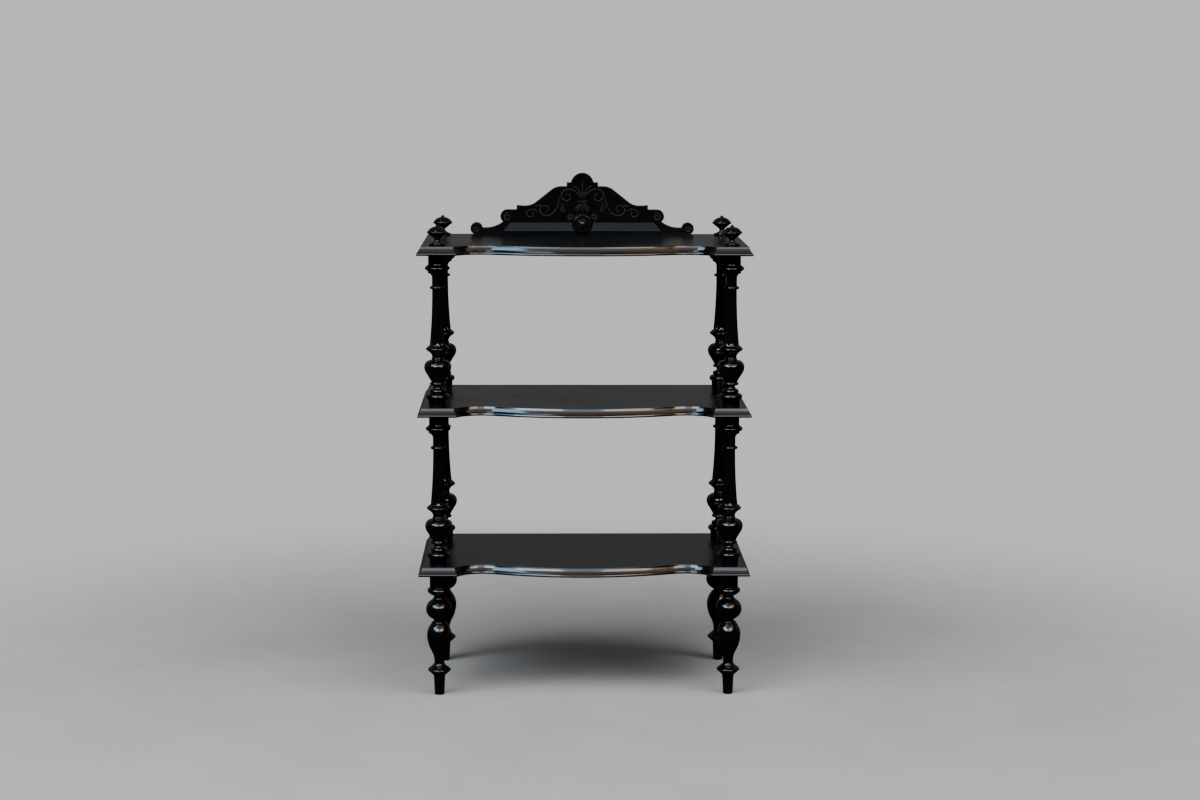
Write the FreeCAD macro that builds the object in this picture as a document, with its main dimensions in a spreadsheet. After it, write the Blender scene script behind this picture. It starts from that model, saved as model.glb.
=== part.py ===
"""Etagere of black turned wood: three serpentine shelves on fluted columns, under a fretted crest.

Every turned piece stands on its shoulder. A spigot at its foot goes through the corner of a shelf
into a socket bored in the turned piece below. Millimetres; +Z is up, the front faces -Y and the
origin is on the floor, under the middle of the whole piece.
"""
import FreeCAD, Part
import math
import os
import re

import Sketcher

SIZES = {
    # Shelves: outline over the bottom edge, from the square ears at the corners to the bowed middle
    "shelf_width": 770,
    "shelf_depth": 440,
    "shelf_thickness": 20.5,
    "shelf_ear_width": 90,
    "shelf_cove_span": 57,
    "shelf_cove_depth": 37,
    "shelf_hollow_radius": 90,
    "shelf_bow_projection": 11,
    "shelf_cove_runout_share": 0.985,
    # Moulded edge of a shelf: a square nose with a rounded brow, a ledge, a bevel and a rounded arris
    "edge_nose_height": 3.2,
    "edge_brow_height": 2.8,
    "edge_brow_depth": 2.4,
    "edge_ledge_width": 0.4,
    "edge_bevel_run": 6.8,
    "edge_arris_run": 4.1,
    "edge_arris_height": 2.4,
    # Places of the turned pieces and the joints between them
    "column_end_inset": 46.5,
    "column_front_inset": 50,
    "column_back_inset": 45,
    "spigot_radius": 9,
    "spigot_reach": 28,
    "spigot_clearance": 0.1,
    "socket_end_gap": 1,
    # Column, from its plinth up to its top block
    "column_plinth_height": 16.2,
    "column_plinth_radius": 21.5,
    "column_foot_ring_height": 13.9,
    "column_foot_ring_radius": 27.2,
    "column_foot_bead_height": 10.4,
    "column_foot_bead_radius": 19,
    "column_foot_bead_seat_radius": 15.5,
    "column_foot_neck_height": 9.2,
    "column_foot_neck_radius": 9.6,
    "column_foot_neck_flare_radius": 12,
    "column_lip_height": 6.9,
    "column_lip_radius": 18.4,
    "column_lip_seat_radius": 16,
    "column_bulb_foot_radius": 14.5,
    "column_bulb_lower_height": 35.4,
    "column_bulb_radius": 31.5,
    "column_bulb_upper_height": 17.3,
    "column_bulb_shoulder_radius": 16.5,
    "column_collet_height": 4,
    "column_collet_radius": 14.8,
    "column_neck_radius": 12.7,
    "column_neck_height": 14,
    "column_neck_flare_radius": 22.5,
    "column_middle_ring_lower_height": 6.5,
    "column_middle_ring_upper_height": 7.6,
    "column_middle_ring_radius": 27.5,
    "column_middle_ring_seat_radius": 21.5,
    "column_shaft_foot_radius": 18.8,
    "column_shaft_height": 130.5,
    "column_shaft_top_radius": 12.3,
    "column_astragal_height": 6.9,
    "column_astragal_radius": 17.7,
    "column_astragal_seat_radius": 15,
    "column_collar_height": 18.5,
    "column_cove_height": 11.5,
    "column_cove_radius": 19.5,
    "column_fillet_height": 2.8,
    "column_fillet_radius": 21.6,
    "column_top_ring_height": 16.9,
    "column_top_ring_radius": 29,
    "column_block_radius": 21,
    "column_block_height": 23,
    # Flutes of the shaft, whose section grows with the taper
    "flute_count": 12,
    "flute_margin": 3,
    "flute_depth_share": 0.09,
    "flute_radius_share": 0.4,
    # Leg, from the floor up to its top block
    "leg_toe_height": 1.8,
    "leg_toe_radius": 9.8,
    "leg_foot_radius": 11.3,
    "leg_foot_height": 44,
    "leg_ankle_radius": 13.5,
    "leg_disc_under_height": 12.1,
    "leg_disc_edge_height": 1.2,
    "leg_disc_radius": 26.8,
    "leg_disc_dome_height": 12.8,
    "leg_disc_dome_radius": 14.5,
    "leg_shin_height": 6.5,
    "leg_shin_flare_radius": 12.8,
    "leg_shin_radius": 11.6,
    "leg_vase_lower_height": 64.2,
    "leg_vase_turn_share": 0.4,
    "leg_vase_radius": 28.4,
    "leg_vase_upper_height": 27.3,
    "leg_vase_shoulder_radius": 18.5,
    "leg_lip_height": 4,
    "leg_lip_radius": 17.6,
    "leg_lip_seat_radius": 15.8,
    "leg_neck_height": 4.7,
    "leg_neck_radius": 12.2,
    "leg_ball_foot_radius": 13,
    "leg_ball_lower_height": 24.9,
    "leg_ball_radius": 30.6,
    "leg_ball_upper_height": 23.3,
    "leg_ball_shoulder_radius": 15.5,
    "leg_collet_height": 4,
    "leg_collet_radius": 14.6,
    "leg_throat_height": 7.1,
    "leg_ring_foot_radius": 19.5,
    "leg_ring_lower_height": 9.5,
    "leg_ring_radius": 27,
    "leg_ring_upper_height": 7.8,
    "leg_block_radius": 21.5,
    "leg_block_height": 33.8,
    # Finial, from the shelf up to its point
    "finial_base_radius": 19,
    "finial_base_height": 5,
    "finial_step_radius": 13,
    "finial_step_height": 2.5,
    "finial_cove_radius": 11,
    "finial_cove_height": 5,
    "finial_stem_radius": 6.2,
    "finial_stem_height": 3,
    "finial_cup_height": 14,
    "finial_cup_radius": 23.2,
    "finial_rim_radius": 23.8,
    "finial_rim_height": 1.5,
    "finial_dome_radius": 22.3,
    "finial_dome_height": 12.5,
    "finial_knob_seat_radius": 3.2,
    "finial_knob_radius": 4.6,
    "finial_knob_height": 2,
    "finial_point_height": 3.5,
    # Crest board: half widths from its middle and heights from the shelf
    "crest_thickness": 18,
    "crest_knob_reach": 257.5,
    "crest_knob_height": 13.7,
    "crest_knob_radius": 15,
    "crest_dip_reach": 236,
    "crest_knob_neck_share": 0.985,
    "crest_scroll_reach": 183,
    "crest_scroll_height": 43.6,
    "crest_scroll_radius": 16.5,
    "crest_scroll_tuck_share": 0.62,
    "crest_step_reach": 160,
    "crest_step_height": 70.7,
    "crest_hollow_reach": 138.8,
    "crest_hollow_height": 69.4,
    "crest_cyma_radius": 41,
    "crest_shoulder_reach": 51,
    "crest_shoulder_height": 116.4,
    "crest_cap_reach": 38.3,
    "crest_cap_height": 126.1,
    "crest_lobe_radius": 28,
    "crest_lobe_height": 121,
    # Bevelled moulding at the foot of the crest, on each side of the boss
    "moulding_depth": 14,
    "moulding_foot_height": 9.9,
    "moulding_height": 28.7,
    "moulding_nose_depth": 2,
    "moulding_reach": 190.7,
    "moulding_mitre_run": 15.9,
    "moulding_inner_reach": 12,
    "moulding_scribe_gap": 0.3,
    # Boss in the middle of that moulding and the button let into it
    "boss_radius": 25.5,
    "boss_height": 26.1,
    "boss_rim_height": 10,
    "boss_rim_round_height": 5,
    "boss_rim_face_radius": 21,
    "boss_saucer_radius": 18.5,
    "boss_saucer_depth": 1.2,
    "boss_hub_radius": 11,
    "boss_hub_height": 1.7,
    "button_radius": 9,
    "button_edge_height": 1.5,
    "button_dome_height": 5.5,
    "button_crown_radius": 1.5,
    "button_spigot_radius": 4,
    "button_spigot_reach": 9,
    # Dowels between the crest and the top shelf
    "dowel_radius": 4,
    "dowel_depth": 14,
    "dowel_clearance": 0.1,
    "dowel_end_gap": 1,
    "dowel_reach": 150,
    # Run of every cutting tool past the wood that it cuts
    "overrun": 12,
}

doc = FreeCAD.newDocument("etagere")
sheet = doc.addObject("Spreadsheet::Sheet", "Sizes")
for row, (alias, size) in enumerate(SIZES.items(), start=1):
    sheet.set(f"A{row}", alias)
    sheet.set(f"B{row}", str(size))
    sheet.setAlias(f"B{row}", alias)
doc.recompute()

# Sizes that follow from the driving ones, as expressions on the sheet
HALF_WIDTH = "(shelf_width / 2)"
HALF_DEPTH = "((shelf_depth + shelf_bow_projection) / 2)"
EAR_FRONT = f"(shelf_bow_projection - {HALF_DEPTH})"
EAR_INNER = f"({HALF_WIDTH} - shelf_ear_width)"
DIP_REACH = f"({EAR_INNER} - shelf_cove_span)"
DIP_FRONT = f"({EAR_FRONT} + shelf_cove_depth)"
COVE_RADIUS = "((shelf_cove_span ^ 2 + shelf_cove_depth ^ 2) / (2 * shelf_cove_depth))"
BOW_RISE = "(shelf_cove_depth + shelf_bow_projection)"
CURVE_RADII = f"(({DIP_REACH} ^ 2 + {BOW_RISE} ^ 2) / (2 * {BOW_RISE}))"
BOW_SHARE = f"(1 - shelf_hollow_radius / {CURVE_RADII})"
EDGE_SEAT = "(edge_brow_depth + edge_ledge_width)"
EDGE_ARRIS = f"({EDGE_SEAT} + edge_bevel_run)"
EDGE_INSET = f"({EDGE_ARRIS} + edge_arris_run)"
COLUMN_REACH = f"({HALF_WIDTH} - column_end_inset)"
COLUMN_FRONT = f"({EAR_FRONT} + column_front_inset)"
COLUMN_BACK = f"({HALF_DEPTH} - column_back_inset)"
SOCKET_RADIUS = "(spigot_radius + spigot_clearance)"
CREST_PLANE = f"({HALF_DEPTH} - crest_thickness / 2)"
CREST_FACE = f"({HALF_DEPTH} - crest_thickness)"


def tied(text):
    """Write a sum on size names as an expression on the sheet."""
    return re.sub(r"[a-z]\w+", lambda word: f"Sizes.{word[0]}" if word[0] in SIZES else word[0], text)


def worth(text):
    """The present value of a sum on size names."""
    return float(sheet.evalExpression(tied(text)))


def plane_of(body, role):
    """One of a body's own origin planes."""
    return next(item for item in body.Origin.OriginFeatures if item.Role == role)


def axis_of(body, role):
    """One of a body's own origin axes, as a reference for a pattern or a mirror."""
    return (plane_of(body, role), [""])


def sketch_on(body, name, role, lift="0"):
    """A new sketch on an origin plane of a body, raised along the plane's normal."""
    sketch = body.newObject("Sketcher::SketchObject", name)
    sketch.AttachmentSupport = [(plane_of(body, role), "")]
    sketch.MapMode = "FlatFace"
    sketch.setExpression("AttachmentOffset.Base.z", tied(lift))
    return sketch


def bind(sketch, kind, places, text):
    """Hold a distance or a radius of a sketch at a sum on size names."""
    if worth(text) == 0 and kind in ("DistanceX", "DistanceY"):
        axis = -2 if kind == "DistanceX" else -1
        sketch.addConstraint(Sketcher.Constraint("PointOnObject", *places[2:], axis))
        return
    number = sketch.addConstraint(Sketcher.Constraint(kind, *places, worth(text)))
    sketch.setExpression(f"Constraints[{number}]", tied(text))


def hold_point(sketch, edge, end, across, along):
    """Tie both coordinates of an edge's end to the sheet."""
    bind(sketch, "DistanceX", (-1, 1, edge, end), across)
    bind(sketch, "DistanceY", (-1, 1, edge, end), along)


def arc_between(start, stop, axis, level):
    """The shorter arc between two points, with one coordinate of its centre given.

    The other coordinate is where both points are equally far from the centre. Returns the arc and
    whether it runs backwards, because an arc always turns to the left from its first point.
    """
    other = 1 - axis
    near = (start[axis] - level) ** 2 - (stop[axis] - level) ** 2 + start[other] ** 2 - stop[other] ** 2
    centre = [0, 0]
    centre[axis] = level
    centre[other] = near / (2 * (start[other] - stop[other]))
    first = math.atan2(start[1] - centre[1], start[0] - centre[0])
    last = math.atan2(stop[1] - centre[1], stop[0] - centre[0])
    backwards = (last - first) % (2 * math.pi) > math.pi
    if backwards:
        first, last = last, first
    circle = Part.Circle(FreeCAD.Vector(*centre, 0), FreeCAD.Vector(0, 0, 1), math.dist(start, centre))
    return Part.ArcOfCircle(circle, first, last), backwards


def draw(sketch, corners, bends, closed=True):
    """Draw corners, written as sums on size names, joined by lines and arcs.

    bends has an entry for each edge: None for a line, or ("x" or "y", sum) for the coordinate that
    places the centre of an arc.
    """
    points = [(worth(across), worth(along)) for across, along in corners]
    ends = []
    for place, bend in enumerate(bends):
        start = points[place]
        stop = points[(place + 1) % len(points)]
        if bend is None:
            line = Part.LineSegment(FreeCAD.Vector(*start, 0), FreeCAD.Vector(*stop, 0))
            ends.append((sketch.addGeometry(line, False), 1, 2))
            continue
        arc, backwards = arc_between(start, stop, "xy".index(bend[0]), worth(bend[1]))
        edge = sketch.addGeometry(arc, False)
        ends.append((edge, 2, 1) if backwards else (edge, 1, 2))
    for place, (edge, start, stop) in enumerate(ends):
        hold_point(sketch, edge, start, *corners[place])
        if closed or place + 1 < len(ends):
            after = ends[(place + 1) % len(ends)]
            sketch.addConstraint(Sketcher.Constraint("Coincident", edge, stop, after[0], after[1]))
        if bends[place] is not None:
            axis, level = bends[place]
            bind(sketch, f"Distance{axis.upper()}", (-1, 1, edge, 3), level)
    if not closed:
        edge, start, stop = ends[-1]
        hold_point(sketch, edge, stop, *corners[-1])
    return sketch


def mirrored(corners, bends):
    """Close half an outline, which starts and stops on the middle line, with its mirror image."""
    def flip(text):
        return "0" if text == "0" else f"-({text})"

    other_corners = [(flip(across), along) for across, along in corners[-2:0:-1]]
    other_bends = [
        None if bend is None else (bend[0], flip(bend[1]) if bend[0] == "x" else bend[1])
        for bend in reversed(bends)
    ]
    return corners + other_corners, bends + other_bends


def draw_circles(sketch, centres, radius):
    """Draw circles of one radius at places written as sums on size names."""
    for across, along in centres:
        middle = FreeCAD.Vector(worth(across), worth(along), 0)
        edge = sketch.addGeometry(Part.Circle(middle, FreeCAD.Vector(0, 0, 1), worth(radius)), False)
        hold_point(sketch, edge, 3, across, along)
        bind(sketch, "Radius", (edge,), radius)
    return sketch


def new_body(label):
    """An empty body under the name of its piece."""
    body = doc.addObject("PartDesign::Body", label)
    body.Label = label
    return body


def place(body, across="0", deep="0", high="0"):
    """Put a piece at its place in the whole, tied to the sheet."""
    for axis, text in zip("xyz", (across, deep, high)):
        body.setExpression(f"Placement.Base.{axis}", tied(text))
    return body


def twin(label, original):
    """Another body of the same shape, which follows the first one."""
    body = new_body(label)
    copy = body.newObject("PartDesign::FeatureBase", f"{label}_shape")
    copy.BaseFeature = original
    body.Tip = copy
    return body


def extrude(body, kind, sketch, length, both_ways=False, backwards=False):
    """Pad or pocket a sketch by a length from the sheet."""
    feature = body.newObject(f"PartDesign::{kind}", f"{sketch.Name}_{kind.lower()}")
    feature.Profile = sketch
    feature.Midplane = both_ways
    feature.Reversed = backwards
    feature.setExpression("Length", tied(length))
    return feature


def turn(body, kind, sketch):
    """Turn a sketch round its upright axis, as wood (Revolution) or as a bore (Groove)."""
    feature = body.newObject(f"PartDesign::{kind}", f"{sketch.Name}_{kind.lower()}")
    feature.Profile = sketch
    feature.ReferenceAxis = (sketch, ["V_Axis"])
    feature.Angle = 360
    return feature


def stacked(rows):
    """Heights of a turned profile added up, as one sum on size names."""
    return "(" + " + ".join(rise for rise, radius, bend in rows if rise != "0") + ")"


def turned(label, first_radius, rows, spigot=None):
    """A piece turned in one from the seat up, on a spigot of (radius, length) where it has one.

    Each row is (rise, radius, bend): the next point of the profile. A rise of "0" is a flat step.
    The bend is None for a straight cut, "foot" or "head" for an arc that stands upright at its
    lower or upper point, or "crown" for an arc that ends level, as the top of a dome does.
    """
    corners = [("0", "0"), (first_radius, "0")]
    bends = [None]
    if spigot:
        radius, length = spigot
        corners = [("0", f"-({length})"), (radius, f"-({length})"), (radius, "0"), (first_radius, "0")]
        bends = [None, None, None]
    for count, (rise, radius, bend) in enumerate(rows, start=1):
        height = stacked(rows[:count])
        levels = {None: None, "foot": ("y", corners[-1][1]), "head": ("y", height), "crown": ("x", radius)}
        corners.append((radius, height))
        bends.append(levels[bend])
    if rows[-1][1] != "0":
        corners.append(("0", stacked(rows)))
        bends.append(None)
    bends.append(None)
    body = new_body(label)
    turn(body, "Revolution", draw(sketch_on(body, f"{label}_profile", "XZ_Plane"), corners, bends))
    return body


def bore_socket(body, radius, depth, top):
    """Bore a round socket down from the top of a turned piece."""
    floor = f"({top} - {depth})"
    corners = [("0", floor), (radius, floor), (radius, top), ("0", top)]
    turn(body, "Groove", draw(sketch_on(body, f"{body.Label}_socket", "XZ_Plane"), corners, [None] * 4))


def bead(height, radius, seat):
    """Rows of a half-round bead between two points of one seat radius."""
    return [(f"{height} / 2", radius, "head"), (f"{height} / 2", seat, "foot")]


COLUMN_LOWER = [
    ("column_plinth_height", "column_plinth_radius", None),
    *bead("column_foot_ring_height", "column_foot_ring_radius", "column_plinth_radius"),
    ("0", "column_foot_bead_seat_radius", None),
    *bead("column_foot_bead_height", "column_foot_bead_radius", "column_foot_bead_seat_radius"),
    ("0", "column_foot_neck_flare_radius", None),
    *bead("column_foot_neck_height", "column_foot_neck_radius", "column_foot_neck_flare_radius"),
    ("0", "column_lip_seat_radius", None),
    *bead("column_lip_height", "column_lip_radius", "column_lip_seat_radius"),
    ("0", "column_bulb_foot_radius", None),
    ("column_bulb_lower_height", "column_bulb_radius", "head"),
    ("column_bulb_upper_height", "column_bulb_shoulder_radius", "foot"),
    ("0", "column_neck_radius", None),
    *bead("column_collet_height", "column_collet_radius", "column_neck_radius"),
    ("column_neck_height", "column_neck_flare_radius", "foot"),
    ("column_middle_ring_lower_height", "column_middle_ring_radius", "head"),
    ("column_middle_ring_upper_height", "column_middle_ring_seat_radius", "foot"),
    ("0", "column_shaft_foot_radius", None),
]
COLUMN_UPPER = [
    ("column_shaft_height", "column_shaft_top_radius", "head"),
    ("0", "column_astragal_seat_radius", None),
    *bead("column_astragal_height", "column_astragal_radius", "column_astragal_seat_radius"),
    ("0", "column_shaft_top_radius", None),
    ("column_collar_height", "column_shaft_top_radius", None),
    ("column_cove_height", "column_cove_radius", "foot"),
    ("0", "column_fillet_radius", None),
    ("column_fillet_height", "column_fillet_radius", None),
    *bead("column_top_ring_height", "column_top_ring_radius", "column_block_radius"),
    ("column_block_height", "column_block_radius", None),
]
COLUMN_HEIGHT = stacked(COLUMN_LOWER + COLUMN_UPPER)
LEG_VASE_TURN = "leg_vase_turn_share * leg_vase_lower_height"
LEG_ROWS = [
    ("leg_toe_height", "leg_foot_radius", "head"),
    ("leg_foot_height", "leg_ankle_radius", None),
    ("leg_disc_under_height", "leg_disc_radius", None),
    ("leg_disc_edge_height", "leg_disc_radius", None),
    ("leg_disc_dome_height", "leg_disc_dome_radius", "foot"),
    ("0", "leg_shin_flare_radius", None),
    ("leg_shin_height", "leg_shin_radius", "head"),
    (LEG_VASE_TURN, "(leg_shin_radius + leg_vase_turn_share * (leg_vase_radius - leg_shin_radius))", "foot"),
    (f"(leg_vase_lower_height - {LEG_VASE_TURN})", "leg_vase_radius", "head"),
    ("leg_vase_upper_height", "leg_vase_shoulder_radius", "foot"),
    ("0", "leg_lip_seat_radius", None),
    *bead("leg_lip_height", "leg_lip_radius", "leg_lip_seat_radius"),
    ("0", "leg_neck_radius", None),
    ("leg_neck_height", "leg_neck_radius", None),
    ("0", "leg_ball_foot_radius", None),
    ("leg_ball_lower_height", "leg_ball_radius", "head"),
    ("leg_ball_upper_height", "leg_ball_shoulder_radius", "foot"),
    ("0", "leg_neck_radius", None),
    *bead("leg_collet_height", "leg_collet_radius", "leg_neck_radius"),
    ("leg_throat_height", "leg_neck_radius", None),
    ("0", "leg_ring_foot_radius", None),
    ("leg_ring_lower_height", "leg_ring_radius", "head"),
    ("leg_ring_upper_height", "leg_block_radius", "foot"),
    ("leg_block_height", "leg_block_radius", None),
]
LEG_HEIGHT = stacked(LEG_ROWS)
FINIAL_ROWS = [
    ("finial_base_height", "finial_base_radius", None),
    ("0", "finial_step_radius", None),
    ("finial_step_height", "finial_step_radius", None),
    ("0", "finial_cove_radius", None),
    ("finial_cove_height", "finial_stem_radius", "head"),
    ("finial_stem_height", "finial_stem_radius", None),
    ("finial_cup_height", "finial_cup_radius", None),
    ("0", "finial_rim_radius", None),
    ("finial_rim_height", "finial_rim_radius", None),
    ("0", "finial_dome_radius", None),
    ("finial_dome_height", "finial_knob_seat_radius", "crown"),
    ("finial_knob_height", "finial_knob_radius", "head"),
    ("finial_point_height", "0", None),
]
BOSS_ROWS = [
    ("boss_rim_height", "boss_radius", None),
    ("boss_rim_round_height", "boss_rim_face_radius", "foot"),
    ("0", "boss_saucer_radius", None),
    ("-boss_saucer_depth", "boss_hub_radius", None),
    ("boss_hub_height", "boss_hub_radius", None),
]
BUTTON_ROWS = [
    ("button_edge_height", "button_radius", None),
    ("button_dome_height", "button_crown_radius", "crown"),
]

# Heights of the three shelf boards above the floor
SHELF_STEP = f"({COLUMN_HEIGHT} + shelf_thickness)"
SHELF_FOOT = {
    "bottom": LEG_HEIGHT,
    "middle": f"({LEG_HEIGHT} + {SHELF_STEP})",
    "top": f"({LEG_HEIGHT} + 2 * {SHELF_STEP})",
}
SHELF_TOP = {name: f"({foot} + shelf_thickness)" for name, foot in SHELF_FOOT.items()}
CORNERS = {
    f"{row}_{side}": (f"{sign}{COLUMN_REACH}", deep)
    for row, deep in (("front", COLUMN_FRONT), ("back", COLUMN_BACK))
    for side, sign in (("left", "-"), ("right", ""))
}


def shaft_radius(drop):
    """Radius of the tapered shaft at a drop below its top, on the arc that stands upright there."""
    taper = "(column_shaft_foot_radius - column_shaft_top_radius)"
    sweep = f"(({taper} ^ 2 + column_shaft_height ^ 2) / (2 * {taper}))"
    return f"(column_shaft_top_radius + {sweep} - sqrt({sweep} ^ 2 - ({drop}) ^ 2))"


def cut_flutes(body):
    """Cut the flutes of a column: one hollow lofted through three rounds, then repeated round the shaft."""
    shaft_top = f"({stacked(COLUMN_LOWER)} + column_shaft_height)"
    drops = ["flute_margin", "column_shaft_height / 2", "(column_shaft_height - flute_margin)"]
    sections = []
    for number, drop in enumerate(drops):
        radius = shaft_radius(drop)
        sketch = sketch_on(body, f"{body.Label}_flute_{number}", "XY_Plane", f"({shaft_top} - {drop})")
        centre = f"{radius} * (1 - flute_depth_share + flute_radius_share)"
        sections.append(draw_circles(sketch, [(centre, "0")], f"{radius} * flute_radius_share"))
    flute = body.newObject("PartDesign::SubtractiveLoft", f"{body.Label}_flute")
    flute.Profile = sections[0]
    flute.Sections = sections[1:]
    doc.recompute()
    ring = body.newObject("PartDesign::PolarPattern", f"{body.Label}_flutes")
    ring.Originals = [flute]
    ring.Axis = axis_of(body, "Z_Axis")
    ring.Angle = 360
    ring.setExpression("Occurrences", tied("flute_count"))
    body.Tip = ring


def column(label):
    """A turned column with its flutes, its spigot below and its socket above."""
    spigot = ("spigot_radius", "shelf_thickness + spigot_reach")
    body = turned(label, "column_plinth_radius", COLUMN_LOWER + COLUMN_UPPER, spigot)
    bore_socket(body, SOCKET_RADIUS, "(spigot_reach + socket_end_gap)", COLUMN_HEIGHT)
    cut_flutes(body)
    return body


def leg(label):
    """A turned leg with a socket for the spigot of the column above."""
    body = turned(label, "leg_toe_radius", LEG_ROWS)
    bore_socket(body, SOCKET_RADIUS, "(spigot_reach + socket_end_gap)", LEG_HEIGHT)
    return body


def finial(label):
    """A turned cup finial, whose spigot pins the top shelf to the column below."""
    spigot = ("spigot_radius", "shelf_thickness + spigot_reach")
    return turned(label, "finial_base_radius", FINIAL_ROWS, spigot)


SHELF_FRONT_CORNERS = [
    ("0", f"-{HALF_DEPTH}"),
    (f"{DIP_REACH} * {BOW_SHARE}", f"{BOW_RISE} * {BOW_SHARE} - {HALF_DEPTH}"),
    (DIP_REACH, DIP_FRONT),
]
SHELF_FRONT_BENDS = [("x", "0"), ("x", DIP_REACH), ("x", DIP_REACH)]


def edge_tool(edge, outwards):
    """Corners and bends of the tool that cuts the moulded edge, on (across, height).

    edge is where the board ends and outwards is the sign, + or -, of the way out of the wood.
    """
    inwards = "-" if outwards == "+" else "+"
    brow_top = "(edge_nose_height + edge_brow_height)"
    brow, seat, arris, inner = (
        f"({edge} {inwards} {reach})" for reach in ("edge_brow_depth", EDGE_SEAT, EDGE_ARRIS, EDGE_INSET))
    clear = f"({edge} {outwards} overrun)"
    corners = [
        (clear, "edge_nose_height"),
        (edge, "edge_nose_height"),
        (brow, brow_top),
        (seat, brow_top),
        (arris, "(shelf_thickness - edge_arris_height)"),
        (inner, "shelf_thickness"),
        (inner, "(shelf_thickness + overrun)"),
        (clear, "(shelf_thickness + overrun)"),
    ]
    bends = [None, ("y", "edge_nose_height"), None, None, ("x", inner), None, None, None]
    return corners, bends


def mould_shelf_edge(body):
    """Run the moulded edge along the serpentine front, the ears and the ends of a shelf."""
    runout = "shelf_cove_runout_share"
    ear_end = (
        f"({DIP_REACH} + {COVE_RADIUS} * {runout})",
        f"({DIP_FRONT} - {COVE_RADIUS} + {COVE_RADIUS} * sqrt(1 - {runout} ^ 2))",
    )
    route = draw(
        sketch_on(body, f"{body.Label}_front_route", "XY_Plane"),
        SHELF_FRONT_CORNERS + [ear_end], SHELF_FRONT_BENDS, closed=False)
    tool = draw(sketch_on(body, f"{body.Label}_front_tool", "YZ_Plane"), *edge_tool(f"(-{HALF_DEPTH})", "-"))
    front = body.newObject("PartDesign::SubtractivePipe", f"{body.Label}_front_mould")
    front.Profile = tool
    front.Spine = (route, [])
    doc.recompute()
    ear_start = f"({EAR_INNER} - overrun)"
    ear_tool = sketch_on(body, f"{body.Label}_ear_tool", "YZ_Plane", ear_start)
    draw(ear_tool, *edge_tool(EAR_FRONT, "-"))
    ear = extrude(body, "Pocket", ear_tool, "(shelf_ear_width + 2 * overrun)", backwards=True)
    end_tool = draw(sketch_on(body, f"{body.Label}_end_tool", "XZ_Plane"), *edge_tool(HALF_WIDTH, "+"))
    end = extrude(body, "Pocket", end_tool, f"(2 * {HALF_DEPTH} + 2 * overrun)", both_ways=True)
    doc.recompute()
    other_half = body.newObject("PartDesign::Mirrored", f"{body.Label}_other_half")
    other_half.Originals = [front, ear, end]
    other_half.MirrorPlane = (plane_of(body, "YZ_Plane"), [""])
    body.Tip = other_half


def shelf(label):
    """A serpentine board with its moulded edge and the four holes for the spigots."""
    half_corners = SHELF_FRONT_CORNERS + [
        (EAR_INNER, EAR_FRONT),
        (HALF_WIDTH, EAR_FRONT),
        (HALF_WIDTH, HALF_DEPTH),
        ("0", HALF_DEPTH),
    ]
    body = new_body(label)
    outline = sketch_on(body, f"{label}_outline", "XY_Plane")
    draw(outline, *mirrored(half_corners, SHELF_FRONT_BENDS + [None] * 3))
    extrude(body, "Pad", outline, "shelf_thickness")
    mould_shelf_edge(body)
    holes = draw_circles(sketch_on(body, f"{label}_holes", "XY_Plane"), CORNERS.values(), SOCKET_RADIUS)
    extrude(body, "Pocket", holes, "(2 * shelf_thickness + overrun)", both_ways=True)
    return body


def dowel_places():
    """The two dowels of the crest, on its own middle plane."""
    return [("-dowel_reach", "0"), ("dowel_reach", "0")]


def drill_for_dowels(body, name, lift, shift, upwards):
    """Drill the holes of the crest's dowels into the shelf or into the crest."""
    places = [(across, shift) for across, along in dowel_places()]
    sketch = draw_circles(
        sketch_on(body, name, "XY_Plane", lift), places, "(dowel_radius + dowel_clearance)")
    extrude(body, "Pocket", sketch, "(dowel_depth + dowel_end_gap)", backwards=upwards)


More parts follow.
